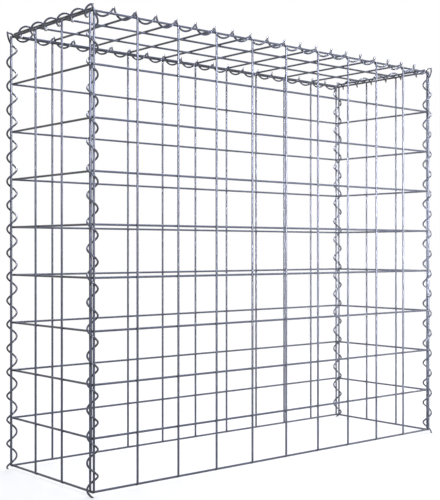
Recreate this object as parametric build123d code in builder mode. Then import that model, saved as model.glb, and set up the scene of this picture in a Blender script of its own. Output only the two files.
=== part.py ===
# Gabion basket: five welded mesh panels laced together along their edges with wire spirals.
# It stands empty and has no base. Millimetres, +Z up. The origin is on the ground under the middle
# of the basket, +X runs along the wall and the front panel is on the -Y side.

import os
from math import cos, hypot, pi, sin, sqrt

from build123d import *

# Mesh: hexagonal bars stand for round wire. Where wires cross, ridge meets ridge and they are welded.
cell = 100.0            # between wire centres, both ways
long_cell_count = 10
deep_cell_count = 3
high_cell_count = 9
wire = 4.5              # mesh wire, across the flats
wire_sides = 6
ridge_turn = 180 / wire_sides   # degrees, sets a ridge towards the crossing wire
weld_bite = 0.5         # depth that crossing wires sink into each other
trim = 0.5              # cross wires end this far past the middle of the edge wire
panel_gap = 0.3         # air between the wires of neighbouring panels

# Lacing spirals: square bars bent to the chords of a helix, with two turns in each cell.
lace_wire = 3.5         # spiral wire, across the flats
lace_sides = 4
coil_play = 0.3         # what is left between a spiral and the wires that it goes round
turns_per_cell = 2
chords = 8              # in one turn
seat_gap = 0.15         # air where a spiral bears on the wires that it laces

# Lid and the spirals round its edge, measured from the top rails of the walls.
lid_rise = 1.5          # lengthwise wires of the lid above the top rails
long_axis_rise = 2.5    # axis of a long lid spiral above the top rail
short_axis_rise = 2.0   # axis of a short lid spiral above the top rail
lid_axis_inset = 1.2    # axis of either inwards from the top rail

# Ends of the spirals, and the ground.
ground_to_rail = 8.0    # the corner spirals reach this far below the bottom rails, to the ground
corner_tail_length = 29.0   # rise of a corner spiral's last quarter turn, which is drawn out upwards
long_tail_length = 22.0     # advance of a long lid spiral's last quarter turn
long_lead = 1.0         # a long lid spiral crests this far before each cross wire
short_lag = 4.0         # a short lid spiral crests this far past each lengthwise wire

# Places worked out from the sizes above.
half_wire = wire / 2
layer = wire - weld_bite
half_long = long_cell_count * cell / 2
half_deep = deep_cell_count * cell / 2
height = high_cell_count * cell
wire_corner = half_wire / cos(pi / wire_sides)
edge_clearance = trim + wire_corner + panel_gap
end_upright_x = half_long + edge_clearance
end_rail_x = end_upright_x - layer
front_rail_y = half_deep + edge_clearance
front_upright_y = front_rail_y + layer
top_rail_z = ground_to_rail + height
middle_z = ground_to_rail + height / 2
coil_pitch = cell / turns_per_cell
quarter_pitch = coil_pitch / 4
chord_advance = coil_pitch / chords
quarter_chords = chords // 4
lace_corner = lace_wire / 2 / cos(pi / lace_sides)
crossing_clearance = wire_corner + lace_corner + seat_gap
chord_middle_share = cos(pi / chords)
upright_step_x = end_upright_x - half_long
upright_step_y = front_upright_y - half_deep
half_pair = hypot(upright_step_x, upright_step_y) / 2
coil_radius = (half_pair + crossing_clearance) / chord_middle_share + coil_play
lid_cross_wire_z = top_rail_z + lid_rise + layer
lid_end_inset = layer
lid_side_inset = half_wire - trim

os.makedirs("parts", exist_ok=True)


def wire_places(cells, edge_inset):
    """Places of the wires across a panel, a cell apart, with the two edge wires set inwards."""
    places = [(step - cells / 2) * cell for step in range(cells + 1)]
    places[0] += edge_inset
    places[-1] -= edge_inset
    return places


def mesh_panel(face, columns, rows, column_inset=0, row_inset=0):
    """Welded panel with its outer wires along the y of face and its inner wires, along x, behind them."""
    outer_places = wire_places(columns, column_inset)
    inner_places = wire_places(rows, row_inset)
    outer_start = inner_places[0] - trim
    inner_start = outer_places[0] - trim
    outer_ends = Plane(face.from_local_coords((0, outer_start, 0)), face.x_dir, face.y_dir)
    inner_ends = Plane(face.from_local_coords((inner_start, 0, -layer)), face.y_dir, face.x_dir)
    with BuildPart() as panel:
        with BuildSketch(outer_ends):
            with Locations([(place, 0) for place in outer_places]):
                RegularPolygon(half_wire, wire_sides, major_radius=False, rotation=ridge_turn)
        extrude(amount=-2 * outer_start)
        with BuildSketch(inner_ends):
            with Locations([(place, 0) for place in inner_places]):
                RegularPolygon(half_wire, wire_sides, major_radius=False, rotation=ridge_turn)
        extrude(amount=-2 * inner_start)
    return panel


def lacing_spiral(axis, turns, left_handed, tail_advance):
    """Spiral that starts on the x of axis and runs along its z, its last quarter turn drawn out."""
    regular_chords = round(turns * chords)
    hand = -1 if left_handed else 1
    bends = []
    for step in range(regular_chords + quarter_chords + 1):
        angle = hand * 2 * pi * step / chords
        tail_share = max(step - regular_chords, 0) / quarter_chords
        advance = min(step, regular_chords) * chord_advance + tail_share * tail_advance
        bends.append((coil_radius * cos(angle), coil_radius * sin(angle), advance))
    with BuildPart() as spiral:
        with BuildLine(axis) as path:
            Polyline(*bends)
        with BuildSketch(Plane(path.line @ 0, z_dir=path.line % 0)):
            RegularPolygon(lace_wire / 2, lace_sides, major_radius=False)
        sweep(path=path.line, transition=Transition.RIGHT)
        split(bisect_by=Plane.XY)
    return spiral


def save(piece, name):
    """Label a finished piece and write it out."""
    piece.part.label = name
    export_step(piece.part, f"parts/{name}.step")


# Front and back panels: the uprights are on the outside and the rails behind them.
front_face = Plane((0, -front_upright_y, middle_z), x_dir=(1, 0, 0), z_dir=(0, -1, 0))
back_face = Plane((0, front_upright_y, middle_z), x_dir=(-1, 0, 0), z_dir=(0, 1, 0))
save(mesh_panel(front_face, long_cell_count, high_cell_count), "front_panel")
save(mesh_panel(back_face, long_cell_count, high_cell_count), "back_panel")

# End panels: they stand between the front and back rails, with their uprights outside too.
left_face = Plane((-end_upright_x, 0, middle_z), x_dir=(0, -1, 0), z_dir=(-1, 0, 0))
right_face = Plane((end_upright_x, 0, middle_z), x_dir=(0, 1, 0), z_dir=(1, 0, 0))
save(mesh_panel(left_face, deep_cell_count, high_cell_count), "left_end_panel")
save(mesh_panel(right_face, deep_cell_count, high_cell_count), "right_end_panel")

# Lid: it lies between the four top rails, so its edge wires are set inwards. Its cross wires are on
# top, and the outer two lie just above the top rails of the end panels.
lid_face = Plane((0, 0, lid_cross_wire_z), x_dir=(1, 0, 0), z_dir=(0, 0, 1))
lid = mesh_panel(lid_face, long_cell_count, deep_cell_count, lid_end_inset, lid_side_inset)
save(lid, "lid_panel")

# Corner spirals: each holds the edge uprights of two panels, and is drawn inwards until it bears
# on both. It passes through the front mesh midway between rails and is cut off at the ground.
# Neighbouring corners are mirror images.
bearing_reach = coil_radius * chord_middle_share - crossing_clearance
corner_draw = sqrt(max(bearing_reach**2 - half_pair**2, 0))
corner_axis_x = (half_long + end_upright_x) / 2 - corner_draw * upright_step_y / (2 * half_pair)
corner_axis_y = (half_deep + front_upright_y) / 2 - corner_draw * upright_step_x / (2 * half_pair)
corner_start_z = ground_to_rail - quarter_pitch
corner_turns = turns_per_cell * high_cell_count - 1 / chords
for depth_name, y_side in (("front", -1), ("back", 1)):
    for side_name, x_side in (("left", -1), ("right", 1)):
        corner_axis = Plane(
            (x_side * corner_axis_x, y_side * corner_axis_y, corner_start_z),
            x_dir=(0, y_side, 0),
            z_dir=(0, 0, 1),
        )
        left_handed = x_side == y_side
        corner_spiral = lacing_spiral(corner_axis, corner_turns, left_handed, corner_tail_length)
        save(corner_spiral, f"corner_spiral_{depth_name}_{side_name}")

# Long lid spirals: they go round the top rail of the front or back panel and the edge wire of the lid,
# and crest just before each cross wire, over its end. All lid spirals have one hand.
long_axis_y = front_rail_y - lid_axis_inset
long_start = half_long - quarter_pitch + long_lead
long_turns = turns_per_cell * long_cell_count - 1 / 2
for depth_name, y_side in (("front", -1), ("back", 1)):
    long_axis = Plane(
        (y_side * long_start, y_side * long_axis_y, top_rail_z + long_axis_rise),
        x_dir=(0, -y_side, 0),
        z_dir=(-y_side, 0, 0),
    )
    save(lacing_spiral(long_axis, long_turns, True, long_tail_length), f"lid_spiral_{depth_name}")

# Short lid spirals: they go round the outer cross wires of the lid and the top rails of the end panels.
short_axis_x = end_rail_x - lid_axis_inset
short_start = half_deep - quarter_pitch - short_lag
short_turns = turns_per_cell * deep_cell_count - 1 / 2
for side_name, x_side in (("left", -1), ("right", 1)):
    short_axis = Plane(
        (x_side * short_axis_x, -x_side * short_start, top_rail_z + short_axis_rise),
        x_dir=(-x_side, 0, 0),
        z_dir=(0, x_side, 0),
    )
    save(lacing_spiral(short_axis, short_turns, True, quarter_pitch), f"lid_spiral_{side_name}")
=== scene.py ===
import bpy
import numpy as np
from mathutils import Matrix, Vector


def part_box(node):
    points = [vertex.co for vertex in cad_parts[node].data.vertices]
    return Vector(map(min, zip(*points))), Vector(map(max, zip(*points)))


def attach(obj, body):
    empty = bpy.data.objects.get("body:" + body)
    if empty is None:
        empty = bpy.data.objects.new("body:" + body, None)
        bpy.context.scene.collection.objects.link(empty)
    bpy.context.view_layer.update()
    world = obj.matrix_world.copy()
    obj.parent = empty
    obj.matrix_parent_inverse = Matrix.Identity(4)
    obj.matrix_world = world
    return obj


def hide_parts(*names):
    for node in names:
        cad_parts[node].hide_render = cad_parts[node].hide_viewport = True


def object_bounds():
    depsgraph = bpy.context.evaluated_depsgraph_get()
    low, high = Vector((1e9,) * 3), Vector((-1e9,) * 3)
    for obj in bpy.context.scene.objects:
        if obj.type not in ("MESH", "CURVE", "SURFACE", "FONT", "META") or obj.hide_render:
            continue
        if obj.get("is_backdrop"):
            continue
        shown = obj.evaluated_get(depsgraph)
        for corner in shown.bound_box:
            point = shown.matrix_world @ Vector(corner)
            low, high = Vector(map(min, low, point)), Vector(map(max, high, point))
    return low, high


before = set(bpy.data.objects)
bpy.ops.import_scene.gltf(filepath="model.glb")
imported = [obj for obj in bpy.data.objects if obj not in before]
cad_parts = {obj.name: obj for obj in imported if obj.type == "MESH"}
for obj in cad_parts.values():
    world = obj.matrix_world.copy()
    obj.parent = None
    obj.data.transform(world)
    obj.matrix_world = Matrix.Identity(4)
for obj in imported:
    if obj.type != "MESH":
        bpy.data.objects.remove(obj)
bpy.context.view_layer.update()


# Front and back panels. Round steel wire, coated and straightened, is cut to length and welded at
# every crossing into a flat mesh of 100 mm cells: uprights on the outside, rails on the inside.
# Sheared ends stop level with the edge wires, and each weld squeezes out a small collar of metal.
cell = 0.1
wire_radius = 0.00225
ridge = wire_radius / np.cos(np.pi / 6)     # the solids' hexagonal bars reach this far to each side
trim = 0.0005           # cut ends reach this far past the middle of the edge wire
shear = 0.0002          # depth of the edge that the shears round off
sheared_share = 0.82    # of the radius, at the cut itself
wire_sides = 16
weld_rings = np.array([-9.0, -4.5, -2.0, 0.0, 2.0, 4.5, 9.0]) / 1000
heat_reach = 0.005      # the weld dulls the coating about this far along the wire
wire_offset = 3.7       # shifts the coating's marks from wire to wire, in metres


def wire_places(cells, edge):
    """Places of wires across a panel: one cell apart about its middle, the outer two at its edges."""
    places = (np.arange(cells + 1) - cells / 2) * cell
    places[[0, -1]] = -edge, edge
    return places


def wire_stations(welds):
    """Distances along a wire from its middle: seven rings about each weld and two at each cut end."""
    rings = (welds[:, None] + weld_rings).ravel()
    reach = welds[-1] + trim
    rings = rings[np.abs(rings) < reach - 2 * shear]
    return np.concatenate([[-reach, shear - reach], rings, [reach - shear, reach]])


def carried_circle(middles, runs, across, radii, lengths, heats, sides, slant=0.0):
    """A circle carried along each path: point = middle + radius * (cos a * across + sin a * beside),
    where beside = run x across. Slant shifts points along the run until a ring lies level.
    Each end is closed by a fan. Strand is the same point on the wire before it was bent."""
    angles = 2 * np.pi * np.arange(sides) / sides
    cosines, sines = np.cos(angles)[:, None], np.sin(angles)[:, None]
    beside = np.cross(runs, across)
    spokes = cosines * across[:, :, None] + sines * beside[:, :, None]
    climb = np.where(runs[..., 2:] == 0, 1, runs[..., 2:])
    level = -slant * sines * (beside[..., 2:] / climb)[:, :, None]
    skin = middles[:, :, None] + radii[:, :, None, None] * (spokes + level * runs[:, :, None])
    points = np.concatenate([skin.reshape(-1, 3), middles[:, 0], middles[:, -1]])
    corner = np.arange(skin[..., 0].size).reshape(skin.shape[:3])
    turned = np.roll(corner, -1, axis=2)
    quads = np.stack([corner[:, :-1], turned[:, :-1], turned[:, 1:], corner[:, 1:]], -1)
    wires = len(radii)
    hubs = np.repeat(corner.size + np.arange(2 * wires), sides).reshape(2, wires, sides)
    starts = np.stack([hubs[0], turned[:, 0], corner[:, 0]], -1)
    ends = np.stack([hubs[1], corner[:, -1], turned[:, -1]], -1)
    fans = np.concatenate([starts.reshape(-1, 3), ends.reshape(-1, 3)])
    shifted = lengths + wire_offset * np.arange(wires)[:, None]
    round_x, round_y = radii[..., None] * cosines[:, 0], radii[..., None] * sines[:, 0]
    strand = np.stack([round_x, round_y, np.broadcast_to(shifted[..., None], round_x.shape)], -1)
    axis = np.stack([0 * shifted, 0 * shifted, shifted], -1)
    strand = np.concatenate([strand.reshape(-1, 3), axis[:, 0], axis[:, -1]])
    heat = np.concatenate([np.repeat(heats.ravel(), sides), heats[:, 0], heats[:, -1]])
    return points, quads.reshape(-1, 4), fans, strand, heat


def parallel_wires(middle, run, step, places, welds):
    """Straight wires of a panel at places along step from its middle, with welds along their run."""
    count = len(places)
    stations = wire_stations(welds)
    middles = middle + places[:, None, None] * step + stations[:, None] * run
    runs = np.broadcast_to(run, middles.shape)
    across = np.broadcast_to(step, middles.shape)
    shares = np.ones(len(stations))
    shares[[0, -1]] = sheared_share
    radii = np.tile(wire_radius * shares, (count, 1))
    off_weld = np.abs(stations[:, None] - welds).min(axis=1)
    heats = np.tile(np.exp(-((off_weld / heat_reach) ** 2)), (count, 1))
    lengths = np.tile(stations, (count, 1))
    return carried_circle(middles, runs, across, radii, lengths, heats, wire_sides)


# Weld collars. Hot steel that is squeezed out of the joint as the two wires are pressed together. It
# sets as a squashed ball, wider in the four corners between the wires than along them.
collar_sides = 12
collar_bands = 4
collar_radius = 0.0019
collar_bulge = 0.0011
collar_half_height = 0.0013


def weld_collars(contacts, first, second, normal):
    """One collar at each contact: point = contact + reach * cos b * (cos a * first + sin a * second)
    + half height * sin b * normal, where reach = radius + bulge * |sin 2a| and b runs pole to pole."""
    turn = 2 * np.pi * np.arange(collar_sides) / collar_sides
    rise = (np.arange(1, collar_bands) / collar_bands - 0.5) * np.pi
    reach = collar_radius + collar_bulge * np.abs(np.sin(2 * turn))
    flat = reach[:, None] * (np.cos(turn)[:, None] * first + np.sin(turn)[:, None] * second)
    lift = collar_half_height * np.sin(rise)[:, None, None] * normal
    belt = np.cos(rise)[:, None, None] * flat + lift
    poles = collar_half_height * np.stack([-normal, normal])
    ball = np.concatenate([belt.reshape(-1, 3), poles])
    corner = np.arange(belt[..., 0].size).reshape(belt.shape[:2])
    turned = np.roll(corner, -1, axis=1)
    quads = np.stack([corner[:-1], turned[:-1], turned[1:], corner[1:]], -1).reshape(-1, 4)
    low, high = np.full(collar_sides, corner.size), np.full(collar_sides, corner.size + 1)
    starts = np.stack([low, turned[0], corner[0]], -1)
    ends = np.stack([high, corner[-1], turned[-1]], -1)
    fans = np.concatenate([starts, ends])
    shift = len(ball) * np.arange(len(contacts))[:, None, None]
    points = (contacts[:, None] + ball).reshape(-1, 3)
    quads, fans = (shift + quads).reshape(-1, 4), (shift + fans).reshape(-1, 3)
    return points, quads, fans, points, np.ones(len(points))


def one_piece(name, shapes, material):
    """Shapes put into one mesh, with their strand coordinates and weld heat as attributes."""
    counts = np.cumsum([0] + [len(shape[0]) for shape in shapes])
    points = np.concatenate([shape[0] for shape in shapes])
    quads = np.concatenate([shape[1] + count for shape, count in zip(shapes, counts)])
    fans = np.concatenate([shape[2] + count for shape, count in zip(shapes, counts)])
    mesh = bpy.data.meshes.new(name)
    mesh.vertices.add(len(points))
    mesh.vertices.foreach_set("co", points.astype(np.float32).ravel())
    mesh.loops.add(quads.size + fans.size)
    corners = np.concatenate([quads.ravel(), fans.ravel()])
    mesh.loops.foreach_set("vertex_index", corners.astype(np.int32))
    mesh.polygons.add(len(quads) + len(fans))
    starts = np.concatenate([4 * np.arange(len(quads)), quads.size + 3 * np.arange(len(fans))])
    mesh.polygons.foreach_set("loop_start", starts.astype(np.int32))
    mesh.polygons.foreach_set("use_smooth", np.ones(len(starts), bool))
    mesh.update(calc_edges=True)
    strands = np.concatenate([shape[3] for shape in shapes])
    strand = mesh.attributes.new("strand", "FLOAT_VECTOR", "POINT")
    strand.data.foreach_set("vector", strands.astype(np.float32).ravel())
    heats = np.concatenate([shape[4] for shape in shapes])
    heat = mesh.attributes.new("weld_heat", "FLOAT", "POINT")
    heat.data.foreach_set("value", heats.astype(np.float32))
    mesh.materials.append(material)
    piece = bpy.data.objects.new(name, mesh)
    bpy.context.scene.collection.objects.link(piece)
    return piece


def linear(code):
    """An sRGB hex code as linear red, green, blue and alpha."""
    srgb = np.array([int(code[i:i + 2], 16) for i in (1, 3, 5)]) / 255
    shades = np.where(srgb <= 0.04045, srgb / 12.92, ((srgb + 0.055) / 1.055) ** 2.4)
    return (*shades.tolist(), 1.0)


def add_node(tree, kind, inputs, **settings):
    """A node with its settings. Inputs maps a socket to a value or to another node's output."""
    made = tree.nodes.new(kind)
    for setting, value in settings.items():
        setattr(made, setting, value)
    for socket, value in inputs.items():
        if isinstance(value, bpy.types.NodeSocket):
            tree.links.new(value, made.inputs[socket])
        else:
            made.inputs[socket].default_value = value
    return made


# Zinc-aluminium coated steel wire, wiped as it leaves the bath. Oxide has dulled the metal to a dark
# blue-grey that still takes a narrow highlight, with cloudy patches, faint lines along the wire from
# the wiping, and a burnt grey tint at the welds.
cloud_size = 0.018
line_width = 0.0011     # the real lines are a tenth of this, drawn coarser to show
line_length = 0.05
line_depth = 0.00004
dull_sum, bright_sum = 0.75, 1.25   # of clouds and lines, where the coating is all dull or all bright
burnt_share = 0.7       # of the burnt tint, in the middle of a weld


def coated_wire(name, bright, dull, burnt, metallic, smooth, rough):
    """Material of one wire: cloudy patches of two greys, lines along the strand, burnt welds."""
    material = bpy.data.materials.new(name)
    material.use_nodes = True
    tree = material.node_tree
    shader = tree.nodes["Principled BSDF"]
    shader.inputs["Metallic"].default_value = metallic
    place = add_node(tree, "ShaderNodeTexCoord", {}).outputs["Object"]
    strand = add_node(tree, "ShaderNodeAttribute", {}, attribute_name="strand").outputs["Vector"]
    heat = add_node(tree, "ShaderNodeAttribute", {}, attribute_name="weld_heat").outputs["Fac"]
    clouds = add_node(tree, "ShaderNodeTexNoise",
                      {"Vector": place, "Scale": 1 / cloud_size, "Detail": 3.0})
    stretch = (1 / line_width, 1 / line_width, 1 / line_length)
    along = add_node(tree, "ShaderNodeMapping", {"Vector": strand, "Scale": stretch}).outputs[0]
    lines = add_node(tree, "ShaderNodeTexNoise", {"Vector": along, "Scale": 1.0, "Detail": 2.0})
    marks = add_node(tree, "ShaderNodeMath",
                     {0: clouds.outputs[0], 1: lines.outputs[0]}, operation="ADD").outputs[0]
    patch = add_node(tree, "ShaderNodeMapRange",
                     {"Value": marks, "From Min": dull_sum, "From Max": bright_sum}).outputs[0]
    greys = add_node(tree, "ShaderNodeMix",
                     {0: patch, 6: linear(dull), 7: linear(bright)}, data_type="RGBA").outputs[2]
    tint = add_node(tree, "ShaderNodeMath", {0: heat, 1: burnt_share}, operation="MULTIPLY").outputs[0]
    shade = add_node(tree, "ShaderNodeMix",
                     {0: tint, 6: greys, 7: linear(burnt)}, data_type="RGBA")
    tree.links.new(shade.outputs[2], shader.inputs["Base Color"])
    sheen = add_node(tree, "ShaderNodeMapRange",
                     {"Value": patch, "To Min": rough, "To Max": smooth}).outputs[0]
    tree.links.new(sheen, shader.inputs["Roughness"])
    relief = add_node(tree, "ShaderNodeBump", {"Height": lines.outputs[0], "Distance": line_depth})
    tree.links.new(relief.outputs[0], shader.inputs["Normal"])
    return material


mesh_wire = coated_wire("zinc_aluminium_coated_mesh_wire", bright="#4C4E56", dull="#3B3D44",
                        burnt="#343439", metallic=0.1, smooth=0.24, rough=0.36)
x_way, y_way, z_way = np.eye(3)


def mesh_panel(node, first, first_cells, second, second_cells, normal):
    """Welded panel in the box of its solid. First wires are on the side that normal points to, the
    second wires cross behind them, and a collar fills each weld."""
    low, high = (np.array(corner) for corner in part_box(node))
    middle = (low + high) / 2
    half = (high - low) / 2
    half_layer = half @ np.abs(normal) - ridge
    rows = wire_places(first_cells, half @ first - wire_radius)
    columns = wire_places(second_cells, half @ second - wire_radius)
    outer = parallel_wires(middle + half_layer * normal, first, second, columns, rows)
    inner = parallel_wires(middle - half_layer * normal, second, first, rows, columns)
    contacts = (middle + rows[:, None, None] * first + columns[:, None] * second).reshape(-1, 3)
    collars = weld_collars(contacts, first, np.cross(normal, first), normal)
    piece = one_piece(node + "_mesh", [outer, inner, collars], mesh_wire)
    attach(piece, "root")
    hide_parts(node)


mesh_panel("front_panel", z_way, 9, x_way, 10, -y_way)
mesh_panel("back_panel", z_way, 9, x_way, 10, y_way)


# End panels. The same welded mesh, three cells wide, standing between the front and back panels
# with its uprights outside, so that a pair of edge uprights stands at each corner.
mesh_panel("left_end_panel", z_way, 9, y_way, 3, -x_way)
mesh_panel("right_end_panel", z_way, 9, y_way, 3, x_way)


# Lid. The same mesh again, its edge wires set in a little so that it drops between the four top
# rails: cross wires on top, where they lie just over the end rails, and lengthwise wires beneath.
mesh_panel("lid_panel", y_way, 3, x_way, 10, z_way)


# Corner spirals. Springy wire wound on a mandrel into an open helix, two turns to a cell, screwed
# down over each pair of edge uprights. It is cut level at the ground, and its last quarter turn is
# pulled out straight to meet the lid.
lace_radius = 0.002
coil_radius = 0.0100
coil_pitch = cell / 2
rings_in_turn = 32
lace_sides = 16
foot_rings = 4          # the level cut at the ground fades into square rings over these
corner_turns = 17.875
corner_start = -0.0045  # below the ground, where the helix would start
corner_tail = 0.029
corner_tail_turn = 0.25
spring_wire = coated_wire("zinc_aluminium_coated_spring_wire", bright="#43454C", dull="#32343A",
                          burnt="#32343A", metallic=0.1, smooth=0.18, rough=0.30)


def lacing_spiral(node, axis_start, side, axis, hand, first_turn, turns, tail_turn, tail, level_foot):
    """A round wire carried along a helix: middle = start + advance * axis
    + coil radius * (cos a * side + sin a * beside), where a is hand * the angle turned.
    The advance grows by one pitch a turn, and then along the tail, over its share q,
    by even * q + (tail - even) * q squared, where even = pitch * tail turn."""
    steps = int(round((turns + tail_turn - first_turn) * rings_in_turn)) + 1
    turned = np.linspace(first_turn, turns + tail_turn, steps)
    angle = hand * 2 * np.pi * turned[:, None]
    out = np.cos(angle) * side + np.sin(angle) * np.cross(axis, side)
    share = np.maximum(turned - turns, 0) / tail_turn
    drawn = tail - coil_pitch * tail_turn
    advance = turned * coil_pitch + drawn * share**2
    middles = axis_start + coil_radius * out + advance[:, None] * axis
    around = hand * 2 * np.pi * coil_radius * np.cross(np.broadcast_to(axis, out.shape), out)
    rate = coil_pitch + 2 * drawn * share / tail_turn
    runs = around + rate[:, None] * axis
    runs /= np.linalg.norm(runs, axis=1, keepdims=True)
    lengths = np.concatenate([[0], np.cumsum(np.linalg.norm(np.diff(middles, axis=0), axis=1))])
    radii = np.full(steps, lace_radius)
    radii[-1] *= sheared_share
    fade = np.clip(1 - np.arange(steps) / foot_rings, 0, 1) if level_foot else np.zeros(steps)
    if not level_foot:
        radii[0] *= sheared_share
    shape = carried_circle(middles[None], runs[None], out[None], radii[None], lengths[None],
                           np.zeros((1, steps)), lace_sides, fade[None, :, None, None])
    piece = one_piece(node + "_wire", [shape], spring_wire)
    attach(piece, "root")
    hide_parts(node)


for depth_name, y_side in (("front", -1), ("back", 1)):
    for side_name, x_side in (("left", -1), ("right", 1)):
        node = f"corner_spiral_{depth_name}_{side_name}"
        low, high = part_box(node)
        start = np.array([(low.x + high.x) / 2, (low.y + high.y) / 2, corner_start])
        hand = -1 if x_side == y_side else 1
        lacing_spiral(node, start, y_side * y_way, z_way, hand, -corner_start / coil_pitch,
                      corner_turns, corner_tail_turn, corner_tail, level_foot=True)


# Long lid spirals. The same spring wire, screwed along the front and back top edges round the top
# rail and the ends of the lid's cross wires. All four lid spirals turn the same way.
long_start = 0.4885
long_turns = 19.5
long_tail = 0.022
long_tail_turn = 0.125
for depth_name, y_side in (("front", -1), ("back", 1)):
    node = f"lid_spiral_{depth_name}"
    low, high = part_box(node)
    start = np.array([y_side * long_start, (low.y + high.y) / 2, (low.z + high.z) / 2])
    lacing_spiral(node, start, -y_side * y_way, -y_side * x_way, -1, 0.0,
                  long_turns, long_tail_turn, long_tail, level_foot=False)


# Short lid spirals. The same wire again over the two ends of the lid, round its outer cross wire and
# the top rail of the end panel, cut off where they come to the corners.
short_start = 0.1335
short_turns = 5.5
short_tail_turn = 0.25
for side_name, x_side in (("left", -1), ("right", 1)):
    node = f"lid_spiral_{side_name}"
    low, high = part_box(node)
    start = np.array([(low.x + high.x) / 2, -x_side * short_start, (low.z + high.z) / 2])
    lacing_spiral(node, start, -x_side * x_way, x_side * y_way, -1, 0.0,
                  short_turns, short_tail_turn, coil_pitch * short_tail_turn, level_foot=False)


# Studio floor. A wide sheet of pale paper: it shows white to the eye and in the wires, and keeps the
# shadow of the basket because part of its brightness is what the lamps throw on it.
floor_reach = 30.0
lit_floor, dim_floor = 0.6, 2.0     # the lamps' light on the floor fades from the first to the second
near_glow = 0.76        # of white, where the lamps add the rest


def seen(tree):
    """One for rays that show the background to the eye, in metal or through glass, else nothing."""
    path = add_node(tree, "ShaderNodeLightPath", {}).outputs
    either = add_node(tree, "ShaderNodeMath", {0: path["Is Camera Ray"], 1: path["Is Glossy Ray"]},
                      operation="MAXIMUM").outputs[0]
    return add_node(tree, "ShaderNodeMath", {0: either, 1: path["Is Transmission Ray"]},
                    operation="MAXIMUM").outputs[0]


corners = floor_reach * np.array([(-1, -1, 0), (1, -1, 0), (1, 1, 0), (-1, 1, 0)], float)
floor_mesh = bpy.data.meshes.new("floor")
floor_mesh.from_pydata(corners.tolist(), [], [(0, 1, 2, 3)])
floor = bpy.data.objects.new("floor", floor_mesh)
bpy.context.scene.collection.objects.link(floor)
paper = bpy.data.materials.new("matt_white_background_paper")
paper.use_nodes = True
tree = paper.node_tree
tree.nodes.remove(tree.nodes["Principled BSDF"])
matt = add_node(tree, "ShaderNodeBsdfDiffuse", {"Color": linear("#6E6E6E")})
away = add_node(tree, "ShaderNodeVectorMath",
                {0: add_node(tree, "ShaderNodeTexCoord", {}).outputs["Object"]}, operation="LENGTH")
sweep = add_node(tree, "ShaderNodeMapRange",
                 {"Value": away.outputs["Value"], "From Min": lit_floor, "From Max": dim_floor,
                  "To Min": near_glow, "To Max": 1.0})
glow = add_node(tree, "ShaderNodeMath", {0: seen(tree), 1: sweep.outputs[0]}, operation="MULTIPLY")
white = add_node(tree, "ShaderNodeEmission",
                 {"Color": linear("#FFFFFF"), "Strength": glow.outputs[0]})
both = add_node(tree, "ShaderNodeAddShader", {0: matt.outputs[0], 1: white.outputs[0]})
tree.links.new(both.outputs[0], tree.nodes["Material Output"].inputs["Surface"])
floor_mesh.materials.append(paper)
floor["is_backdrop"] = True

# Studio light. The room is white where it is seen, and gives only a dim even light. Two cool lamps
# with grids stand beside the camera and draw a pale line down each upright while the rails stay dark.
# One high over the back picks out one side of each spiral, and a warmer one on the right fills in.
world = bpy.data.worlds.new("white_room")
bpy.context.scene.world = world
world.use_nodes = True
tree = world.node_tree
room_light = 0.04
strength = add_node(tree, "ShaderNodeMapRange",
                    {"Value": seen(tree), "To Min": room_light, "To Max": 1.0})
tree.links.new(strength.outputs[0], tree.nodes["Background"].inputs["Strength"])
tree.nodes["Background"].inputs["Color"].default_value = linear("#FFFFFF")


def soft_lamp(name, place, target, width, power, spread, tint):
    """A square lamp at place that faces target, with a grid that lets light out over spread degrees."""
    lamp = bpy.data.lights.new(name, "AREA")
    lamp.size = width
    lamp.energy = power
    lamp.spread = np.radians(spread)
    lamp.color = linear(tint)[:3]
    held = bpy.data.objects.new(name, lamp)
    held.location = place
    facing = np.array(target) - np.array(place)
    flat = np.hypot(facing[0], facing[1])
    tilt = np.arctan2(flat, -facing[2])
    held.rotation_euler = (tilt, 0, np.arctan2(facing[1], facing[0]) - np.pi / 2)
    bpy.context.scene.collection.objects.link(held)


soft_lamp("front_softbox", (-0.9, -2.45, 1.25), (-0.2, 0.0, 0.72),
          width=0.7, power=17.0, spread=55.0, tint="#DAE2FF")
soft_lamp("far_end_softbox", (-1.5, -2.4, 0.6), (1.05, 0.2, 0.45),
          width=0.8, power=12.0, spread=26.0, tint="#E6ECFF")
soft_lamp("overhead_softbox", (0.5, 0.7, 3.2), (0.0, 0.0, 0.4),
          width=1.4, power=32.0, spread=60.0, tint="#E6EBFF")
soft_lamp("right_softbox", (2.2, 0.0, 0.8), (0.0, 0.0, 0.4),
          width=1.0, power=44.0, spread=180.0, tint="#FFF8F0")

# Camera. It stands level at half the basket's height, off the front left corner, close enough that
# the near corner looks much taller than the far one.
camera = bpy.data.cameras.new("camera")
camera.sensor_width = 36.0
camera.lens = 71.56
heading = -40.547       # degrees from +Y, negative towards +X
tripod = bpy.data.objects.new("camera", camera)
tripod.location = (-1.5251, -1.7170, 0.4601)
tripod.rotation_euler = (np.radians(90), 0, np.radians(heading))
bpy.context.scene.collection.objects.link(tripod)
bpy.context.scene.camera = tripod
bpy.context.scene.view_settings.view_transform = "Standard"

low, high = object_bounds()
